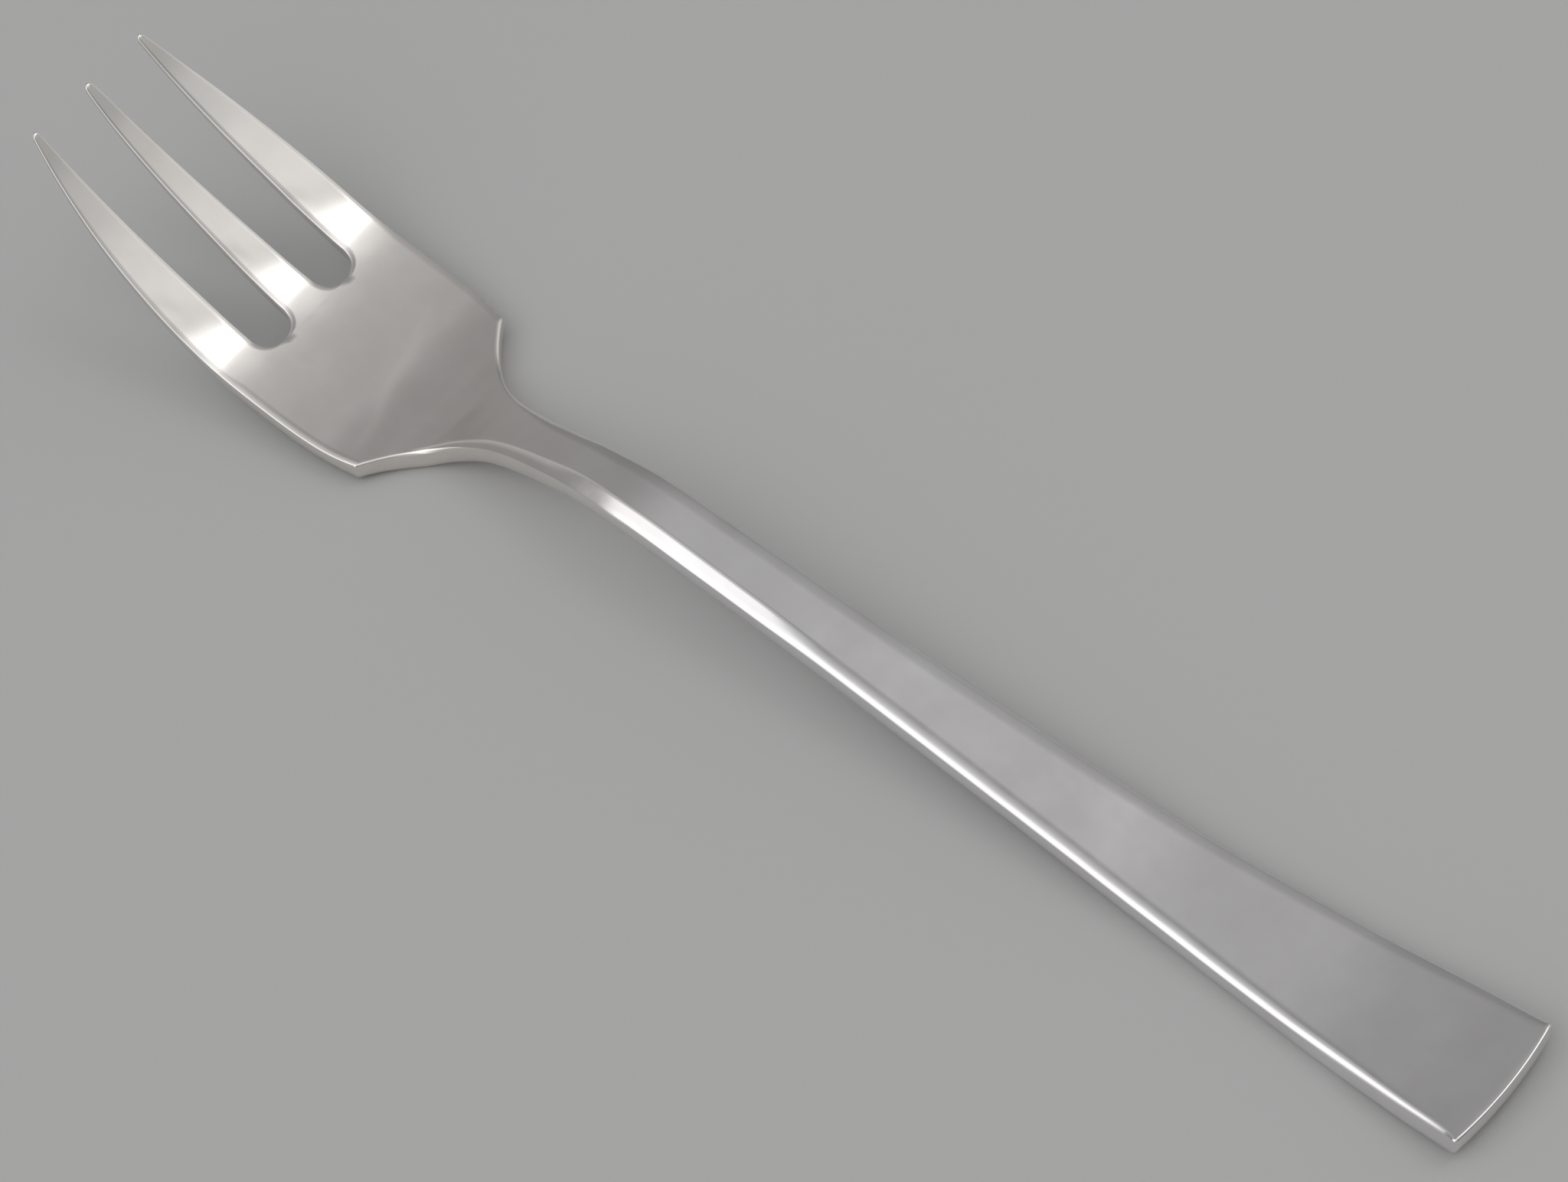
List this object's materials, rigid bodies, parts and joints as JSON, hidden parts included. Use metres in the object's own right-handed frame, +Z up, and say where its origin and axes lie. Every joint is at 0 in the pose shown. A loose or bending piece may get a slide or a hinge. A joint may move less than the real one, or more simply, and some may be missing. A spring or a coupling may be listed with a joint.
{
  "type": "pastry fork",
  "caption": "Polished silver pastry fork with equal tapered tines, a flat square-shouldered head, a narrow neck and a handle that flares to a square end.",
  "frame": {"origin": "on the table, under the middle of the overall length and on the fork's middle plane; the fork lies face up", "axes": "+X from the tine tips to the handle end, +Y across the fork, +Z up, away from the table"},
  "size_m": [0.15, 0.021, 0.0182],
  "materials": {
    "silver": "polished, with fine wear"
  },
  "bodies": {
    "root": {"fork": "silver"}
  },
  "joints": []
}
